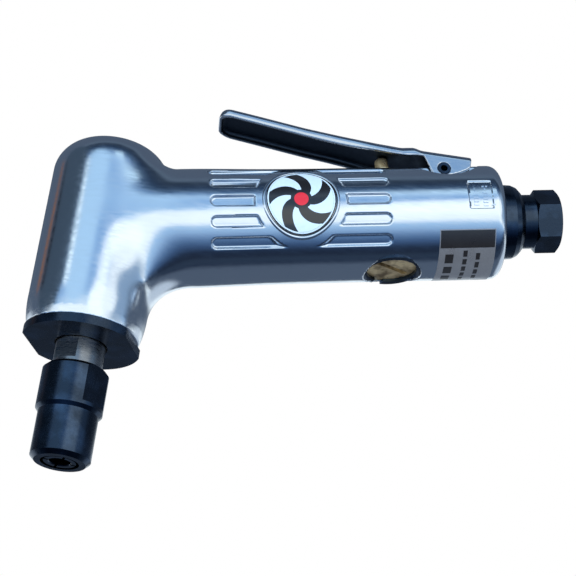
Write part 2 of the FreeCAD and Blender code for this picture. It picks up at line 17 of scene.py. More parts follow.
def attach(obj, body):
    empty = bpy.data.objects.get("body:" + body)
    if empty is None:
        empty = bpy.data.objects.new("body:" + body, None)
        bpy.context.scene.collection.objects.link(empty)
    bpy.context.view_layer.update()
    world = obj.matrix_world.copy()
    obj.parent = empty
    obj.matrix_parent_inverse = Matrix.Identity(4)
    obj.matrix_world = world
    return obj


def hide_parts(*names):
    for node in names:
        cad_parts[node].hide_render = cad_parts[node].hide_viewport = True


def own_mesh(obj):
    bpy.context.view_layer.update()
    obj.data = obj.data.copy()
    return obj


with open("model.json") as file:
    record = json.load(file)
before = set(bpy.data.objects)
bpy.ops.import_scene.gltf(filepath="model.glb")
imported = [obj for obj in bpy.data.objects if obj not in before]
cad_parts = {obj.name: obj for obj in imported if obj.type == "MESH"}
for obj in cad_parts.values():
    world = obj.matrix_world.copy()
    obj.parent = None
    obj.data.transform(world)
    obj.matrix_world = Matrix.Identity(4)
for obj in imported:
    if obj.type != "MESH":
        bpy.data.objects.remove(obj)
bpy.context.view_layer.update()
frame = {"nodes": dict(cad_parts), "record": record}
NODES = frame["nodes"]
JOINTS = {joint["name"]: joint for joint in frame["record"]["behaviour"]["joints"]}

MM = 0.001


# ---------------------------------------------------------------- the handle's frame
def unit(vector):
    return vector / np.linalg.norm(vector)


UP = unit(-np.array(JOINTS["valve_travel"]["axis"]))
ACROSS = np.array([0.0, 1.0, 0.0])
ALONG = np.cross(ACROSS, UP)
REGULATOR = np.array(JOINTS["regulator_turn"]["pos_m"]) / MM
PIN = np.array(JOINTS["lever_press"]["pos_m"]) / MM
HANDLE_TILT = math.atan2(ALONG[2], ALONG[0])
AXES_MEET_Z = 76.2
CENTRE = np.array([0.0, 0.0, AXES_MEET_Z])
TO_ROW = np.stack([ALONG, ACROSS, UP])


def row_from_handle(points):
    """Row millimetres from (s, y, h)."""
    return points @ TO_ROW + CENTRE


def handle_from_row(points):
    return (points - CENTRE) @ TO_ROW.T


VALVE_S = handle_from_row(REGULATOR)[0]
PIN_S, _, PIN_H = handle_from_row(PIN)

# Housing, in millimetres
HEAD_R = 18.3
HEAD_BOTTOM = 39.5
HEAD_TOP = 104.0
HEAD_EDGE = 8.5
HANDLE_R = 18.0
HANDLE_END = 124.6
NECK_ABOVE, NECK_BELOW, NECK_FLANK = 4.5, 13.0, 27.0
NECK_END, RIM_END = 32.0, 42.5
MOTOR_BORE_R = 15.0
MOTOR_TOP = 96.0
BADGE_S = 60.7
BEZEL_R = 11.4
BEZEL_HALF = 0.62
BEZEL_HEIGHT = 0.5
FLUTE_CLEAR_R = 14.2
FLUTE_REACH = 27.6
FLUTE_HALF = 1.7
FLUTE_DEPTH = 0.8
FLUTE_STEP = math.radians(21.0)
PANEL_S = 116.35
PANEL_ANGLE = math.radians(3.1)
PANEL_HALF_LENGTH, PANEL_HALF_WIDTH, PANEL_CORNER = 3.65, 4.9, 0.5
PANEL_DEPTH = 0.42
POCKET_S, POCKET_H, POCKET_R = 108.3, 21.0, 11.4
EAR_HALF = 7.1
EAR_R = 3.5
PIN_HOLE_R = 2.0
RECESS_R, RECESS_TOP = 8.95, -11.2
STEM_BORE_R, STEM_BORE_LOW = 4.5, 9.0
VALVE_BORE_R, VALVE_BORE_MIDDLE, VALVE_BORE_HALF = 6.3, -4.1, 7.2
INLET_BORE_R, INLET_BORE_START = 8.2, 105.0
EXHAUST_BORE_R, EXHAUST_BORE_START = 13.2, 118.6


# ---------------------------------------------------------------- distance fields
def smooth_min(a, b, k):
    t = np.clip(0.5 + 0.5 * (b - a) / k, 0, 1)
    return b + (a - b) * t - k * t * (1 - t)


def smooth_max(a, b, k):
    return -smooth_min(-a, -b, k)


def ball_union(a, b, cosine, radius):
    """Union with the fillet of a rolling ball, from the cosine between the two normals."""
    u, v = radius - a, radius - b
    reach = np.sqrt(np.maximum(u * u + v * v - 2 * u * v * cosine, 0) / (1 - cosine * cosine))
    between = (u > cosine * v) & (v > cosine * u)
    return np.where(between, radius - reach, np.minimum(a, b))


def round_rect(x, y, half_x, half_y, radius):
    qx = np.abs(x) - half_x + radius
    qy = np.abs(y) - half_y + radius
    return np.minimum(np.maximum(qx, qy), 0) + np.hypot(np.maximum(qx, 0), np.maximum(qy, 0)) - radius


def rod_between(radial, along, low, high, radius, edge):
    """Distance to a rod with rounded ends, from its radial and lengthwise coordinates."""
    middle = (low + high) / 2
    return round_rect(radial, along - middle, radius, (high - low) / 2, edge)


def crown(radial):
    """Fall of the head's top away from its middle."""
    return 1.6 * np.minimum(radial / HEAD_R, 1.2) ** 2


def head_field(x, y, z):
    radial = np.hypot(x, y)
    tuck = 1.3 * np.clip((49.0 - z) / 9.5, 0, 1) ** 2
    upper = rod_between(radial, z + crown(radial), 0, HEAD_TOP, HEAD_R, HEAD_EDGE)
    lower = rod_between(radial + tuck, z, HEAD_BOTTOM, 200, HEAD_R, 0.7)
    return np.where(z > 70, upper, lower)


def handle_field(s, radial):
    """The handle, swollen a little at the neck and ending as a ball inside the head."""
    swell = 0.6 * np.exp(-(((s - 26) / np.where(s < 26, 13, 20)) ** 2))
    reach = np.hypot(np.minimum(s, 0), radial)
    return rod_between(reach - swell, s, -200, HANDLE_END, HANDLE_R, 3.4)


def body_field(s, y, h, x, z):
    """Head and handle with a neck fillet that widens on the flanks, where the two run side by side."""
    sin_tilt, cos_tilt = math.sin(HANDLE_TILT), math.cos(HANDLE_TILT)
    radial = np.hypot(y, h)
    behind = np.minimum(s, 0)
    handle_r = np.maximum(np.hypot(behind, radial), 1e-3)
    head_r = np.maximum(np.hypot(x, y), 1e-3)
    level = (x * (behind * cos_tilt - h * sin_tilt) + y * y) / (head_r * handle_r)
    # Direction of the head's surface: outwards, and upwards over its top edge
    up = np.maximum(z + crown(head_r) - (HEAD_TOP - HEAD_EDGE), 0)
    out = np.maximum(head_r - (HEAD_R - HEAD_EDGE), 0.5) + up * 2 * crown(head_r) / head_r
    steep = np.hypot(up, out)
    lift = (behind * sin_tilt + h * cos_tilt) / handle_r
    cosine = np.clip((level * out + lift * up) / steep, -0.3, 0.999)
    corner = NECK_ABOVE + (NECK_BELOW - NECK_ABOVE) / (1 + np.exp(np.clip(h / 2.5, -20, 20)))
    size = corner + (NECK_FLANK - corner) * np.clip(level, 0, 1)
    return ball_union(head_field(x, y, z), handle_field(s, radial), cosine, size)


def flute_field(s, y, h, radial):
    """Ten shallow slots on each side, five before the badge and five behind it."""
    angle = np.arctan2(h, np.abs(y))
    row = np.clip(np.round(angle / FLUTE_STEP), -2, 2)
    sideways = radial * np.sin(angle - row * FLUTE_STEP)
    reach = np.abs(s - BADGE_S)
    far = FLUTE_REACH - FLUTE_HALF
    capsule = np.hypot(np.maximum(reach - far, 0), sideways) - FLUTE_HALF
    clear = FLUTE_CLEAR_R - np.hypot(s - BADGE_S, h)
    outline = smooth_max(capsule, clear, 0.6)
    floor = (HANDLE_R - FLUTE_DEPTH) - radial
    return smooth_max(outline, floor, 0.7)


def panel_field(s, y, h, radial):
    angle = np.arctan2(h, -y)
    around = radial * (angle - PANEL_ANGLE)
    outline = round_rect(s - PANEL_S, around, PANEL_HALF_LENGTH, PANEL_HALF_WIDTH, PANEL_CORNER)
    return np.maximum(outline, (HANDLE_R - PANEL_DEPTH) - radial)


def housing_field(points):
    s, y, h = points[..., 0], points[..., 1], points[..., 2]
    cos_tilt, sin_tilt = math.cos(HANDLE_TILT), math.sin(HANDLE_TILT)
    x = s * cos_tilt - h * sin_tilt
    z = AXES_MEET_Z + s * sin_tilt + h * cos_tilt
    radial = np.hypot(y, h)
    side = np.abs(y)
    field = body_field(s, y, h, x, z)
    field = smooth_max(field, -flute_field(s, y, h, radial), 0.45)
    field = smooth_max(field, -panel_field(s, y, h, radial), 0.2)
    pocket = np.maximum(np.hypot(s - POCKET_S, h - POCKET_H) - POCKET_R, EAR_HALF - side)
    field = smooth_max(field, -pocket, 0.5)
    ear = np.maximum(np.hypot(s - PIN_S, h - PIN_H) - EAR_R, side - EAR_HALF)
    field = smooth_min(field, ear, 0.8)
    field = np.maximum(field, PIN_HOLE_R - np.hypot(s - PIN_S, h - PIN_H))
    across = np.hypot(s - VALVE_S, y)
    field = smooth_max(field, -np.maximum(across - RECESS_R, h - RECESS_TOP), 0.4)
    field = np.maximum(field, -np.maximum(across - STEM_BORE_R, STEM_BORE_LOW - h))
    valve_bore = np.maximum(across - VALVE_BORE_R, np.abs(h - VALVE_BORE_MIDDLE) - VALVE_BORE_HALF)
    field = np.maximum(field, -valve_bore)
    field = np.maximum(field, -np.maximum(np.hypot(x, y) - MOTOR_BORE_R, z - MOTOR_TOP))
    field = np.maximum(field, -np.maximum(radial - INLET_BORE_R, INLET_BORE_START - s))
    return smooth_max(field, -np.maximum(radial - EXHAUST_BORE_R, EXHAUST_BORE_START - s), 0.3)


def around_neck(points):
    """True on the head and the start of the handle, above the head's sharp lower rim."""
    return (points[:, 0] < NECK_END) & (row_from_handle(points)[:, 2] > RIM_END)


# ---------------------------------------------------------------- meshes from fields
def gradient(field, points, step=0.02):
    slopes = []
    for axis in range(3):
        offset = np.zeros(3)
        offset[axis] = step
        slopes.append(field(points + offset) - field(points - offset))
    return np.stack(slopes, axis=-1) / (2 * step)


def settle(field, points, reach, rounds=4):
    """Moves points onto the field's zero surface, each at most reach from where it was."""
    start = points.copy()
    for _ in range(rounds):
        slope = gradient(field, points)
        size = np.maximum((slope**2).sum(axis=-1, keepdims=True), 1e-6)
        points = points - field(points)[..., None] * slope / size
        points = start + np.clip(points - start, -reach, reach)
    return points


def sampled(field, low, step, counts):
    """The field on a grid, one slab at a time."""
    axes = [low[i] + step * np.arange(counts[i]) for i in range(3)]
    values = np.empty(counts, dtype=np.float32)
    across_grid, up_grid = np.meshgrid(axes[1], axes[2], indexing="ij")
    for index, along in enumerate(axes[0]):
        slab = np.stack([np.full_like(across_grid, along), across_grid, up_grid], axis=-1)
        values[index] = field(slab)
    return values


def surface_net(field, low, high, step):
    """Vertices and quads of the zero surface, by naive surface nets."""
    low = np.array(low, dtype=float)
    counts = tuple(np.ceil((np.array(high) - low) / step).astype(int) + 1)
    inside = sampled(field, low, step, counts) < 0
    corners = sum(
        inside[i : counts[0] - 1 + i, j : counts[1] - 1 + j, k : counts[2] - 1 + k].astype(np.int8)
        for i in (0, 1)
        for j in (0, 1)
        for k in (0, 1)
    )
    crossed = (corners > 0) & (corners < 8)
    number = np.full(crossed.shape, -1)
    number[crossed] = np.arange(crossed.sum())
    points = low + step * (np.argwhere(crossed) + 0.5)
    quads = []
    for axis in range(3):
        first, second = (axis + 1) % 3, (axis + 2) % 3
        here = np.moveaxis(inside, (axis, first, second), (0, 1, 2))
        cells = np.moveaxis(number, (axis, first, second), (0, 1, 2))
        change = here[:-1, 1:-1, 1:-1] != here[1:, 1:-1, 1:-1]
        i, j, k = np.nonzero(change)
        leaving = here[i, j + 1, k + 1]
        ring = np.stack(
            [cells[i, j, k], cells[i, j + 1, k], cells[i, j + 1, k + 1], cells[i, j, k + 1]], axis=-1
        )
        ring[~leaving] = ring[~leaving][:, ::-1]
        quads.append(ring)
    return settle(field, points, 0.55 * step), np.concatenate(quads)


def new_object(name, points, faces, normals=None, smooth=True):
    """A mesh object from row metres."""
    mesh = bpy.data.meshes.new(name)
    mesh.from_pydata([tuple(p) for p in points], [], [tuple(int(v) for v in f) for f in faces])
    mesh.polygons.foreach_set("use_smooth", [smooth] * len(mesh.polygons))
    if normals is not None:
        mesh.normals_split_custom_set_from_vertices([tuple(n) for n in normals])
    mesh.update()
    piece = bpy.data.objects.new(name, mesh)
    bpy.context.scene.collection.objects.link(piece)
    return piece


def eased(normals, quads, chosen, rounds=40):
    """Normals of the chosen vertices, averaged over neighbours that face nearly the same way."""
    first, second = quads.ravel(), np.roll(quads, -1, axis=1).ravel()
    gentle = (normals[first] * normals[second]).sum(axis=1) > 0.95
    gentle &= chosen[first] & chosen[second]
    first, second = first[gentle], second[gentle]
    for _ in range(rounds):
        total = normals.copy()
        for axis in range(3):
            total[:, axis] += np.bincount(first, normals[second, axis], len(normals))
            total[:, axis] += np.bincount(second, normals[first, axis], len(normals))
        normals = total / np.maximum(np.linalg.norm(total, axis=1, keepdims=True), 1e-9)
    return normals


def skin(name, field, low, high, step, soft_part=None):
    """A polished skin: a surface net with the field's own normals, eased on its soft part."""
    points, quads = surface_net(field, low, high, step)
    slope = gradient(field, points)
    normals = slope / np.maximum(np.linalg.norm(slope, axis=1, keepdims=True), 1e-9)
    if soft_part:
        normals = eased(normals, quads, soft_part(points))
    return new_object(name, row_from_handle(points) * MM, quads, normals @ TO_ROW)


# ---------------------------------------------------------------- materials
class Shader:
    """A Principled material built from a few chained nodes."""

    def __init__(self, name, colour, metallic=0.0, roughness=0.5, **sockets):
        self.material = bpy.data.materials.new(name)
        self.material.use_nodes = True
        self.tree = self.material.node_tree
        self.bsdf = self.tree.nodes["Principled BSDF"]
        self.bsdf.inputs["Base Color"].default_value = (*colour, 1)
        self.bsdf.inputs["Metallic"].default_value = metallic
        self.bsdf.inputs["Roughness"].default_value = roughness
        for socket, value in sockets.items():
            self.bsdf.inputs[socket.replace("_", " ")].default_value = value
        self.place = self.node("ShaderNodeTexCoord").outputs["Object"]

    def node(self, kind, **settings):
        node = self.tree.nodes.new(kind)
        for key, value in settings.items():
            setattr(node, key, value)
        return node

    def link(self, source, target):
        self.tree.links.new(source, target)

    def stretched(self, scale, turn=(0, 0, 0)):
        mapping = self.node("ShaderNodeMapping")
        mapping.inputs["Scale"].default_value = scale
        mapping.inputs["Rotation"].default_value = turn
        self.link(self.place, mapping.inputs["Vector"])
        return mapping.outputs["Vector"]

    def noise(self, scale, detail=3.0, vector=None, rough=0.5):
        noise = self.node("ShaderNodeTexNoise")
        noise.inputs["Scale"].default_value = scale
        noise.inputs["Detail"].default_value = detail
        noise.inputs["Roughness"].default_value = rough
        self.link(vector or self.place, noise.inputs["Vector"])
        return noise.outputs["Fac"]

    def spread(self, value, low, high, low_to, high_to):
        """Maps a range of a value onto another range."""
        node = self.node("ShaderNodeMapRange")
        for socket, number in zip(("From Min", "From Max", "To Min", "To Max"), (low, high, low_to, high_to)):
            node.inputs[socket].default_value = number
        self.link(value, node.inputs["Value"])
        return node.outputs["Result"]

    def blend_colour(self, factor, first, second):
        mix = self.node("ShaderNodeMix", data_type="RGBA")
        self.link(factor, mix.inputs["Factor"])
        for socket, colour in (("A", first), ("B", second)):
            target = [i for i in mix.inputs if i.name == socket and i.type == "RGBA"][0]
            if isinstance(colour, tuple):
                target.default_value = (*colour, 1)
            else:
                self.link(colour, target)
        return [o for o in mix.outputs if o.type == "RGBA"][0]

    def colour(self, source):
        self.link(source, self.bsdf.inputs["Base Color"])

    def roughness(self, source):
        self.link(source, self.bsdf.inputs["Roughness"])

    def bump(self, height, strength, distance):
        node = self.node("ShaderNodeBump")
        node.inputs["Strength"].default_value = strength
        node.inputs["Distance"].default_value = distance
        self.link(height, node.inputs["Height"])
        normal = self.bsdf.inputs["Normal"]
        if normal.is_linked:
            self.link(normal.links[0].from_socket, node.inputs["Normal"])
        self.link(node.outputs["Normal"], normal)


def polished_aluminium():
    shader = Shader("polished_aluminium", (0.80, 0.84, 0.90), 1.0, 0.16)
    lines = shader.noise(900, 2, shader.stretched((0.25, 1, 1.6)))
    cloud = shader.noise(60, 3)
    shader.colour(shader.blend_colour(cloud, (0.74, 0.80, 0.88), (0.84, 0.88, 0.94)))
    shader.roughness(shader.spread(lines, 0.3, 0.7, 0.12, 0.23))
    shader.bump(lines, 0.05, 0.0001)
    shader.bump(shader.noise(150, 2), 0.04, 0.0004)
    shader.bump(shader.noise(55, 2), 0.07, 0.001)
    return shader.material


def black_oxide():
    shader = Shader("black_oxide", (0.06, 0.09, 0.14), 1.0, 0.23)
    grain = shader.noise(1500, 3)
    worn = shader.spread(shader.noise(140, 4), 0.45, 0.75, 0, 1)
    shader.colour(shader.blend_colour(worn, (0.040, 0.055, 0.080), (0.080, 0.120, 0.190)))
    shader.roughness(shader.spread(grain, 0.3, 0.7, 0.16, 0.30))
    shader.bump(grain, 0.08, 0.00015)
    return shader.material


def lever_steel():
    shader = Shader("lever_steel", (0.62, 0.66, 0.72), 1.0, 0.16)
    lines = shader.noise(1100, 2, shader.stretched((0.2, 1, 1)))
    shader.colour(shader.blend_colour(shader.noise(90, 3), (0.55, 0.59, 0.66), (0.68, 0.72, 0.78)))
    shader.roughness(shader.spread(lines, 0.3, 0.7, 0.10, 0.24))
    shader.bump(lines, 0.06, 0.0001)
    return shader.material


def steel(name, colour, roughness):
    shader = Shader(name, colour, 1.0, roughness)
    rings = shader.noise(1400, 2, shader.stretched((0.3, 0.3, 2.5)))
    darker = tuple(0.78 * part for part in colour)
    shader.colour(shader.blend_colour(shader.noise(200, 3), darker, colour))
    shader.roughness(shader.spread(rings, 0.3, 0.7, 0.75 * roughness, 1.3 * roughness))
    shader.bump(rings, 0.06, 0.0001)
    return shader.material


def brass():
    shader = Shader("brass", (0.55, 0.42, 0.22), 0.8, 0.4)
    patina = shader.noise(220, 4)
    tarnish = shader.spread(patina, 0.42, 0.62, 0, 1)
    shader.colour(shader.blend_colour(tarnish, (0.80, 0.66, 0.40), (0.20, 0.15, 0.09)))
    shader.roughness(shader.spread(patina, 0.3, 0.7, 0.25, 0.5))
    shader.bump(shader.noise(900, 3), 0.1, 0.0002)
    return shader.material


def soft(name, colour, roughness, scale):
    shader = Shader(name, colour, 0.0, roughness)
    grain = shader.noise(scale, 4)
    darker = tuple(0.6 * part for part in colour)
    shader.colour(shader.blend_colour(grain, darker, colour))
    shader.bump(grain, 0.3, 0.0003)
    return shader.material


# ---------------------------------------------------------------- throttle lever
LEVER_SHEET = 1.25
# Plan of the channel: its middle and half length along the handle, and the corner radius of its tip
LEVER_PLAN = (97.6, 60.0, 4.6)
# The finger rest's flanges lean inwards below this depth under the top
LEVER_LEAN, LEVER_LEAN_FROM = 0.3, 1.2
LEVER_PIN_R = 2.05
# Top of the sheet along its middle: (s, h)
LEVER_TOP = (
    (37.4, 38.9), (38.4, 39.9), (40.2, 39.8), (49.0, 37.1), (65.0, 32.0), (74.0, 29.5), (80.8, 27.5),
    (87.5, 25.5), (95.2, 23.6), (96.2, 23.7), (99.3, 23.65), (101.0, 22.6), (103.0, 22.2), (117.5, 19.45),
)
# Half width and corner radius of the channel: (s, mm)
LEVER_HALF = ((37.0, 7.7), (76.0, 7.7), (90.0, 8.8), (120.0, 8.8))
LEVER_CORNER = ((37.0, 2.6), (84.0, 2.6), (93.0, 2.3), (120.0, 2.2))
# Side view: rim of the finger rest, then the outline of the cheek
LEVER_SIDE = (
    (30.0, 60.0), (30.0, 39.9), (48.9, 33.9), (64.5, 28.9), (76.0, 25.5), (80.0, 24.4), (87.0, 22.55),
    (92.0, 21.1), (96.5, 20.3), (100.0, 20.2), (101.9, 19.9), (104.2, 13.6), (104.9, 12.95), (107.4, 12.65),
    (110.0, 12.8), (112.8, 13.5), (115.3, 14.5), (116.4, 15.3), (117.0, 18.1), (117.4, 60.0),
)


def polygon_distance(x, y, corners):
    """Signed distance to a closed polygon, negative inside."""
    best = np.full(x.shape, 1e9)
    sign = np.ones(x.shape)
    previous = corners[-1]
    for corner in corners:
        ex, ey = previous[0] - corner[0], previous[1] - corner[1]
        wx, wy = x - corner[0], y - corner[1]
        share = np.clip((wx * ex + wy * ey) / (ex * ex + ey * ey), 0, 1)
        best = np.minimum(best, (wx - ex * share) ** 2 + (wy - ey * share) ** 2)
        above = y >= corner[1]
        below = y < previous[1]
        left = ex * wy > ey * wx
        sign = np.where((above & below & left) | (~above & ~below & ~left), -sign, sign)
        previous = corner
    return sign * np.sqrt(best)


def along_line(s, knots, soften=0.7):
    """Height of a knotted line, slightly rounded at its knots."""
    places, heights = np.array(knots).T
    return sum(np.interp(s + shift, places, heights) for shift in (-soften, 0, soften)) / 3


def lever_outside(points):
    """Distance to the outside of the folded channel, which is closed round the tip."""
    s, y, h = points[..., 0], np.abs(points[..., 1]), points[..., 2]
    corner = along_line(s, LEVER_CORNER, 3.0)
    down = along_line(s, LEVER_TOP) - h
    lean = LEVER_LEAN * np.clip((92.0 - s) / 12.0, 0, 1)
    middle, reach, round_off = LEVER_PLAN
    half = along_line(s, LEVER_HALF, 3.0)
    qx = round_rect(s - middle, y + lean * (down - LEVER_LEAN_FROM), reach, half, round_off) + corner
    qy = corner - down
    return np.minimum(np.maximum(qx, qy), 0) + np.hypot(np.maximum(qx, 0), np.maximum(qy, 0)) - corner


def lever_field(points):
    s, h = points[..., 0], points[..., 2]
    sheet = np.abs(lever_outside(points) + LEVER_SHEET / 2) - LEVER_SHEET / 2
    side = polygon_distance(s, h, LEVER_SIDE)
    hole = LEVER_PIN_R - np.hypot(s - PIN_S, h - PIN_H)
    return smooth_max(smooth_max(sheet, side, 0.35), hole, 0.2)


# ---------------------------------------------------------------- valve spring
SPRING_R, SPRING_WIRE_R, SPRING_TURNS = 3.5, 0.4, 5


def coil(axis_s, low, high, radius, wire, turns):
    """Vertices and faces of a closed coil spring about the valve's axis."""
    count, sides = 24 * turns, 10
    points = []
    for share in np.linspace(0, 1, count + 1):
        turn = 2 * math.pi * turns * share
        middle = low + wire + (high - low - 2 * wire) * share
        for side in np.linspace(0, 2 * math.pi, sides, endpoint=False):
            reach = radius + wire * math.cos(side)
            height = middle + wire * math.sin(side)
            points.append((axis_s + reach * math.cos(turn), reach * math.sin(turn), height))
    faces = [tuple(range(sides)), tuple(range(count * sides, (count + 1) * sides))]
    for i in range(count):
        for k in range(sides):
            here, beside = i * sides + k, i * sides + (k + 1) % sides
            faces.append((here, beside, beside + sides, here + sides))
    return row_from_handle(np.array(points)) * MM, faces


# ---------------------------------------------------------------- thin prints on the handle
def sleeve_point(s, around, radius):
    """A row point in metres: distance along the handle and angle from the near side upwards."""
    place = np.stack([s, -radius * np.cos(around), radius * np.sin(around)], axis=-1)
    return row_from_handle(place) * MM


def inlay(sheets, low, high):
    """Vertices and faces of thin patches; each is a grid of (s, angle) points between two radii."""
    points, faces = [], []
    for grid in sheets:
        rows, columns = grid.shape[:2]
        start = len(points)
        for radius in (high, low):
            points.extend(sleeve_point(grid[..., 0], grid[..., 1], radius).reshape(-1, 3))
        for i in range(rows - 1):
            for j in range(columns - 1):
                corner = start + i * columns + j
                faces.append((corner, corner + 1, corner + columns + 1, corner + columns))
        rim = [(0, j) for j in range(columns)] + [(i, columns - 1) for i in range(1, rows)]
        rim += [(rows - 1, j) for j in range(columns - 2, -1, -1)] + [(i, 0) for i in range(rows - 2, 0, -1)]
        numbers = [start + i * columns + j for i, j in rim]
        for a, b in zip(numbers, numbers[1:] + numbers[:1]):
            faces.append((b, a, a + rows * columns, b + rows * columns))
    return points, faces


def printed(name, sheets, slot, material, low, high):
    points, faces = inlay(sheets, low, high)
    piece = new_object(name, points, faces, smooth=False)
    finish_piece(piece, "grinder_body", slot, material)
    return piece


def finish_piece(piece, body, slot, material, *nodes):
    """Gives a new piece its material and body, and hides the CAD nodes that it stands for. Its slot is not
    used.
    """
    shell = bmesh.new()
    shell.from_mesh(piece.data)
    if not piece.data.has_custom_normals:
        bmesh.ops.recalc_face_normals(shell, faces=shell.faces)
        shell.to_mesh(piece.data)
    shell.free()
    piece.data.materials.append(material)
    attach(piece, body)
    if nodes:
        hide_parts(*nodes)


# The badge's printed face lies on this radius
BADGE_SKIN_R = 18.35
VANES = 5
VANE_START, VANE_END = 3.3, 9.9
HUB_R = 2.2


def badge_sheet(u, v, side):
    """Turns flat badge coordinates into (s, angle) on one side of the handle."""
    around = np.arcsin(v / BADGE_SKIN_R)
    if side > 0:
        around = math.pi - around
    return np.stack([BADGE_S + u, around], axis=-1)


def vane_sheet(turn, side):
    """One swept vane of the badge's pinwheel."""
    t = np.linspace(0, 1, 15)[:, None]
    w = np.linspace(0, 1, 9)[None, :]
    radius = VANE_START + (VANE_END - VANE_START) * t
    lead = turn + 0.55 * t**1.3
    trail = lead + math.radians(20) + math.radians(26) * t**0.8
    angle = lead + (trail - lead) * w
    return badge_sheet(radius * np.cos(angle), radius * np.sin(angle), side)


def ring_sheet(inner, outer, side):
    """A flat ring or disc on the badge."""
    angle = np.linspace(0, 2 * math.pi, 73)[:, None]
    radius = np.linspace(inner, outer, 4)[None, :]
    return badge_sheet(radius * np.cos(angle), radius * np.sin(angle), side)


def bezel(side):
    """Points and faces of a raised half-round ring about the badge, bent to the handle."""
    count, steps = 120, 13
    foot = HANDLE_R - 0.3
    points = []
    for turn in np.linspace(0, 2 * math.pi, count, endpoint=False):
        for slope in np.linspace(0, math.pi, steps):
            radius = BEZEL_R + BEZEL_HALF * math.cos(slope)
            height = foot + (0.3 + BEZEL_HEIGHT) * math.sin(slope)
            patch = badge_sheet(radius * math.cos(turn), radius * math.sin(turn), side)
            points.append(sleeve_point(patch[0], patch[1], height))
    faces = []
    for i in range(count):
        here, there = i * steps, (i + 1) % count * steps
        faces += [(here + k, there + k, there + k + 1, here + k + 1) for k in range(steps - 1)]
        faces.append((here, here + steps - 1, there + steps - 1, there))
    return points, faces


def mark_sheet(u, v, half_u, half_v):
    """A small rectangle on the oil panel."""
    s = PANEL_S + u + half_u * np.linspace(-1, 1, 2)[:, None]
    angle = PANEL_ANGLE + (v + half_v * np.linspace(-1, 1, 4)[None, :]) / HANDLE_R
    return np.stack(np.broadcast_arrays(s, angle), axis=-1)


def arrow_sheet(u, tip):
    """A small triangle on the oil panel that points upwards."""
    width = np.linspace(-1, 1, 3)[:, None]
    fall = np.linspace(0.06, 1, 4)[None, :]
    s = PANEL_S + u + 0.9 * width * fall
    angle = PANEL_ANGLE + (tip - 1.5 * fall) / HANDLE_R
    return np.stack(np.broadcast_arrays(s, angle), axis=-1)


def bar_sheet(low_s, high_s, low_deg, high_deg):
    """A bar on the label, between two places along the handle and two angles around it."""
    count = max(3, int(abs(high_deg - low_deg) / 1.5) + 2)
    s = np.linspace(low_s, high_s, 4)[:, None]
    angle = np.radians(np.linspace(low_deg, high_deg, count))[None, :]
    return np.stack(np.broadcast_arrays(s, angle), axis=-1)


# ---------------------------------------------------------------- materials of the prints
def gloss_print(name, colour, roughness=0.18):
    shader = Shader(name, colour, 0.0, roughness, Coat_Weight=0.6, Coat_Roughness=0.05)
    speck = shader.noise(900, 3)
    darker = tuple(0.86 * part for part in colour)
    shader.colour(shader.blend_colour(speck, darker, colour))
    shader.roughness(shader.spread(shader.noise(260, 3), 0.3, 0.7, 0.8 * roughness, 1.4 * roughness))
    shader.bump(speck, 0.04, 0.0001)
    return shader.material


def label_film():
    shader = Shader("label_film", (0.40, 0.43, 0.48), 0.75, 0.32)
    speck = shader.noise(2600, 2)
    shader.colour(shader.blend_colour(speck, (0.30, 0.33, 0.38), (0.46, 0.49, 0.54)))
    shader.roughness(shader.spread(shader.noise(300, 3), 0.3, 0.7, 0.26, 0.42))
    shader.bump(shader.noise(160, 2), 0.05, 0.0003)
    return shader.material


# ---------------------------------------------------------------- pieces
COARSE = 1.0

aluminium = polished_aluminium()
oxide = black_oxide()
lever_metal = lever_steel()
# Dark steel for the inside of the lever's channel: painted shade, not a finish of its own
lever_painted_shade = steel("lever_painted_shade", (0.045, 0.06, 0.085), 0.45)
ground = steel("ground_steel", (0.34, 0.35, 0.37), 0.3)
bright = steel("bearing_steel", (0.70, 0.71, 0.73), 0.15)
brass_metal = brass()
rubber = soft("rubber", (0.02, 0.02, 0.02), 0.6, 1800)
felt = soft("felt", (0.30, 0.29, 0.27), 0.9, 2600)
composite = soft("vane_composite", (0.20, 0.11, 0.06), 0.5, 900)
badge_black = gloss_print("badge_black", (0.012, 0.013, 0.016), 0.12)
badge_pale = gloss_print("badge_pale", (0.50, 0.68, 0.88))
badge_red = gloss_print("badge_red", (0.55, 0.015, 0.03))
label_clear = label_film()
label_ink = gloss_print("label_ink", (0.014, 0.014, 0.016), 0.3)

housing_skin = skin(
    "housing_skin", housing_field, (-26, -19.8, -41), (126.2, 19.8, 32), 0.5 * COARSE, around_neck
)
finish_piece(housing_skin, "grinder_body", "polished_aluminium", aluminium, "housing")
lever_skin = skin("lever_skin", lever_field, (36, -9.6, 11.5), (118.5, 9.6, 43), 0.34 * COARSE)
finish_piece(lever_skin, "lever_group", "lever_steel", lever_metal, "throttle_lever")
# The inside of the channel takes a darker material: painted shade for the shadow inside the folded lever
lever_skin.data.materials.append(lever_painted_shade)
centres = np.array([tuple(face.center) for face in lever_skin.data.polygons]) / MM
inner = lever_outside(handle_from_row(centres)) < -0.7 * LEVER_SHEET
lever_skin.data.polygons.foreach_set("material_index", inner.astype(int))


# The spring stands on the regulator
spring_node = NODES["valve_spring"]
spring_corners = [tuple(spring_node.matrix_world @ vertex.co) for vertex in spring_node.data.vertices]
spring_heights = handle_from_row(np.array(spring_corners) / MM)[:, 2]
spring_low, spring_high = spring_heights.min(), spring_heights.max()
spring = new_object(
    "valve_spring_coil", *coil(VALVE_S, spring_low, spring_high, SPRING_R, SPRING_WIRE_R, SPRING_TURNS)
)
finish_piece(spring, "grinder_body", "bearing_steel", bright, "valve_spring")
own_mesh(spring)

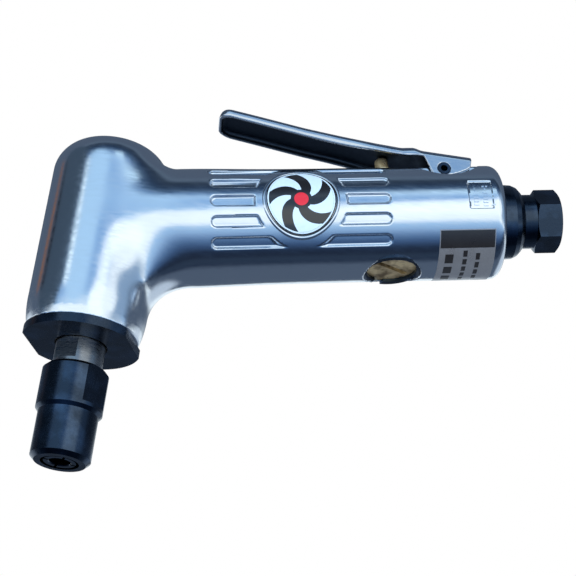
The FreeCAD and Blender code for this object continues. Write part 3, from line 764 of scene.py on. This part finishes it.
vanes = [
    vane_sheet(math.radians(360 / VANES * step + 15), side) for step in range(VANES) for side in (-1, 1)
]
rims = [ring_sheet(VANE_END + 0.05, VANE_END + 0.45, side) for side in (-1, 1)]
printed("badge_vanes", vanes + rims, "badge", badge_pale, BADGE_SKIN_R - 0.02, BADGE_SKIN_R + 0.07)
hubs = [ring_sheet(0.02, HUB_R, side) for side in (-1, 1)]
printed("badge_hubs", hubs, "badge", badge_red, BADGE_SKIN_R - 0.02, BADGE_SKIN_R + 0.10)

bezel_points, bezel_faces = [], []
for side in (-1, 1):
    points, faces = bezel(side)
    bezel_faces += [tuple(len(bezel_points) + number for number in face) for face in faces]
    bezel_points += points
bezels = new_object("badge_bezels", bezel_points, bezel_faces)
finish_piece(bezels, "grinder_body", "polished_aluminium", aluminium)

marks = [mark_sheet(-1.7, 2.8, 0.2, 1.7), mark_sheet(1.5, 2.9, 0.2, 1.0)]
marks.append(arrow_sheet(1.5, 4.4))
marks += [mark_sheet(-1.5, v, 0.75, 0.28) for v in (-3.6, -2.5, -1.4, -0.3)]
marks += [mark_sheet(1.4, v, 0.75, 0.28) for v in (-3.9, -2.8, -1.7, -0.6, 0.5)]
printed("panel_marks", marks, "polished_aluminium", aluminium, HANDLE_R - 0.5, HANDLE_R - 0.1)

LABEL_R = 18.12
dark_bands = [bar_sheet(103.3, 120.2, -52, -34)]
lines_of_bars = [
    bar_sheet(s, s + width, low, low + length)
    for s, width, starts, length in (
        (105.0, 2.6, (-70, -86, -102), 11),
        (110.6, 1.3, (-62, -72, -82, -92, -102), 7),
        (114.6, 1.3, (-66, -77, -88, -99), 8),
    )
    for low in starts
]
printed("label_print", dark_bands + lines_of_bars, "label", label_ink, LABEL_R - 0.02, LABEL_R + 0.04)

FINISHES = {
    "polished_aluminium": aluminium,
    "black_oxide": oxide,
    "bare_steel": ground,
    "bearing_steel": bright,
    "lever_steel": lever_metal,
    "brass": brass_metal,
    "rubber": rubber,
    "felt": felt,
    "vane_composite": composite,
    "badge": badge_black,
    "label": label_clear,
}
for subpart in frame["record"]["subparts"]:
    mesh = NODES[subpart["node"]].data
    finish_of_node = FINISHES[subpart["material_slot"]]
    if mesh.materials:
        for index in range(len(mesh.materials)):
            mesh.materials[index] = finish_of_node
    else:
        mesh.materials.append(finish_of_node)


# ---------------------------------------------------------------- studio
def backdrop(name, corners, material):
    piece = new_object(name, corners, [(0, 1, 2, 3)], smooth=False)
    piece.data.materials.append(material)
    piece.visible_glossy = False
    return piece


def studio_floor():
    shader = Shader("studio_floor", (0.30, 0.30, 0.31), 0.0, 0.9, Emission_Strength=0.74)
    cloud = shader.noise(3.0, 2)
    shader.colour(shader.blend_colour(cloud, (0.28, 0.28, 0.29), (0.32, 0.32, 0.33)))
    shader.bsdf.inputs["Emission Color"].default_value = (1.0, 1.0, 1.0, 1)
    return shader.material


FLOOR_Z = -0.32
floor_corners = [(-4, -4, FLOOR_Z), (4, -4, FLOOR_Z), (4, 4, FLOOR_Z), (-4, 4, FLOOR_Z)]
backdrop("floor", floor_corners, studio_floor())

# Light by elevation, in degrees, in the plane square to X: 0 is the near side, 90 above, 180 the far
# side. This isn't an even studio: the steps are set to imitate the real metal's reflections.
WRAP = (
    (-180, (0.900, 1.000, 1.050)),
    (-177, (0.085, 0.115, 0.165)),
    (-112, (0.085, 0.115, 0.165)),
    (-104, (0.020, 0.033, 0.062)),
    (-92, (0.028, 0.046, 0.078)),
    (-84, (0.015, 0.024, 0.045)),
    (-73, (0.017, 0.030, 0.060)),
    (-60, (0.050, 0.100, 0.210)),
    (-50, (0.100, 0.190, 0.350)),
    (-42, (0.190, 0.320, 0.530)),
    (-34, (0.320, 0.510, 0.760)),
    (-24, (0.400, 0.640, 0.920)),
    (-17, (1.050, 1.160, 1.200)),
    (4, (1.050, 1.160, 1.200)),
    (11, (0.460, 0.700, 0.960)),
    (20, (0.280, 0.490, 0.800)),
    (29, (0.240, 0.440, 0.750)),
    (35, (0.460, 0.700, 0.960)),
    (40, (0.170, 0.310, 0.550)),
    (47, (0.050, 0.100, 0.190)),
    (58, (0.020, 0.038, 0.075)),
    (70, (0.026, 0.042, 0.070)),
    (77, (0.110, 0.155, 0.215)),
    (88, (0.085, 0.115, 0.165)),
    (157, (0.085, 0.115, 0.165)),
    (162, (0.900, 1.000, 1.050)),
    (180, (0.900, 1.000, 1.050)),
)


# Soft round lamps and dark patches, each laid over the last: azimuth, elevation, the angles where it
# starts and stops to fade, colour. They imitate the real reflections too, as far as the brown streak.
LAMPS = (
    (-24, 25, 10, 23, (0.480, 0.740, 1.000)),
    (-77, 25, 19, 28, (0.050, 0.078, 0.115)),
    (-99, 25, 2, 5, (0.014, 0.018, 0.026)),
    (-111, 25, 2.5, 5.5, (0.240, 0.120, 0.080)),
    (-45, 25, 2, 6, (0.950, 1.150, 1.250)),
    (60, 18, 12, 30, (0.260, 0.390, 0.560)),
    (22, 10, 15, 20, (1.200, 1.320, 1.380)),
    (42, 14, 8, 18, (1.050, 1.150, 1.200)),
    (10, 40, 3, 8, (0.600, 0.850, 1.050)),
    (135, -8, 12, 28, (0.550, 0.640, 0.740)),
    (-135, -8, 12, 28, (0.950, 1.050, 1.150)),
)


class Sky:
    """The studio as the metal sees it."""

    def __init__(self):
        self.world = bpy.data.worlds.new("studio")
        bpy.context.scene.world = self.world
        self.world.use_nodes = True
        self.tree = self.world.node_tree
        self.background = self.tree.nodes["Background"]
        place = self.tree.nodes.new("ShaderNodeTexCoord")
        self.direction = place.outputs["Generated"]
        split = self.tree.nodes.new("ShaderNodeSeparateXYZ")
        self.tree.links.new(self.direction, split.inputs[0])
        self.x, self.y, self.z = split.outputs

    def math(self, operation, first, second=0.0):
        node = self.tree.nodes.new("ShaderNodeMath")
        node.operation = operation
        for socket, value in zip(node.inputs, (first, second)):
            if isinstance(value, (int, float)):
                socket.default_value = value
            else:
                self.tree.links.new(value, socket)
        return node.outputs[0]

    def wrap(self, stops):
        """A colour for each elevation, turning about X."""
        turn = self.math("ARCTAN2", self.z, self.math("MULTIPLY", self.y, -1.0))
        share = self.math("ADD", self.math("DIVIDE", turn, 2 * math.pi), 0.5)
        ramp = self.tree.nodes.new("ShaderNodeValToRGB")
        elements = ramp.color_ramp.elements
        while len(elements) > 1:
            elements.remove(elements[-1])
        elements[0].position = 0.0
        elements[0].color = (*stops[0][1], 1)
        for degrees, colour in stops[1:]:
            elements.new(degrees / 360 + 0.5).color = (*colour, 1)
        self.tree.links.new(share, ramp.inputs[0])
        return ramp.outputs["Color"]

    def lamp(self, azimuth, elevation, inner, outer):
        """A soft round lamp: 1 inside the inner angle, 0 beyond the outer one."""
        a, e = math.radians(azimuth), math.radians(elevation)
        towards = (math.sin(a) * math.cos(e), -math.cos(a) * math.cos(e), math.sin(e))
        node = self.tree.nodes.new("ShaderNodeVectorMath")
        node.operation = "DOT_PRODUCT"
        self.tree.links.new(self.direction, node.inputs[0])
        node.inputs[1].default_value = towards
        reach = self.tree.nodes.new("ShaderNodeMapRange")
        reach.interpolation_type = "SMOOTHSTEP"
        reach.inputs["From Min"].default_value = math.cos(math.radians(outer))
        reach.inputs["From Max"].default_value = math.cos(math.radians(inner))
        self.tree.links.new(node.outputs["Value"], reach.inputs["Value"])
        return reach.outputs["Result"]

    def over(self, below, factor, colour):
        mix = self.tree.nodes.new("ShaderNodeMix")
        mix.data_type = "RGBA"
        self.tree.links.new(factor, mix.inputs["Factor"])
        a, b = [i for i in mix.inputs if i.type == "RGBA"]
        self.tree.links.new(below, a)
        b.default_value = (*colour, 1)
        return [o for o in mix.outputs if o.type == "RGBA"][0]

    def show(self, colour, seen):
        """Lights with one colour and shows the camera plain white."""
        rays = self.tree.nodes.new("ShaderNodeLightPath")
        self.tree.links.new(self.over(colour, rays.outputs["Is Camera Ray"], seen), self.background.inputs[0])


sky = Sky()
light = sky.wrap(WRAP)
for azimuth, elevation, inner_angle, outer_angle, colour in LAMPS:
    light = sky.over(light, sky.lamp(azimuth, elevation, inner_angle, outer_angle), colour)
sky.show(light, (1.0, 1.0, 1.0))


def soft_lamp(name, place, size, watts):
    """A wide lamp for the matt and painted parts, left out of the reflections."""
    data = bpy.data.lights.new(name, "AREA")
    data.size = size
    data.energy = watts
    lamp = bpy.data.objects.new(name, data)
    lamp.location = place
    lamp.rotation_euler = Vector(place).to_track_quat("Z", "Y").to_euler()
    lamp.visible_glossy = False
    bpy.context.scene.collection.objects.link(lamp)


soft_lamp("near_lamp", (-0.25, -1.0, 0.35), 0.6, 12.0)
soft_lamp("far_lamp", (0.25, 1.0, 0.35), 0.6, 12.0)

bpy.context.scene.view_settings.view_transform = "Standard"

# ---------------------------------------------------------------- camera
LENS = 100.0
AZIMUTH, ELEVATION, ROLL = (math.radians(angle) for angle in (-1.23, -25.49, 7.18))
DISTANCE = 0.49372
TARGET = Vector((0.05952, 0.0, 0.06509))

back = Vector(
    (
        math.sin(AZIMUTH) * math.cos(ELEVATION),
        -math.cos(AZIMUTH) * math.cos(ELEVATION),
        math.sin(ELEVATION),
    )
)
level = Vector((0, 0, 1)).cross(back).normalized()
steep = back.cross(level)
right = math.cos(ROLL) * level + math.sin(ROLL) * steep
upward = math.cos(ROLL) * steep - math.sin(ROLL) * level
camera_data = bpy.data.cameras.new("camera")
camera_data.lens = LENS
camera_data.clip_start = 0.01
camera = bpy.data.objects.new("camera", camera_data)
turned = Matrix((right, upward, back)).transposed().to_4x4()
camera.matrix_world = Matrix.Translation(TARGET + back * DISTANCE) @ turned
bpy.context.scene.collection.objects.link(camera)
bpy.context.scene.camera = camera
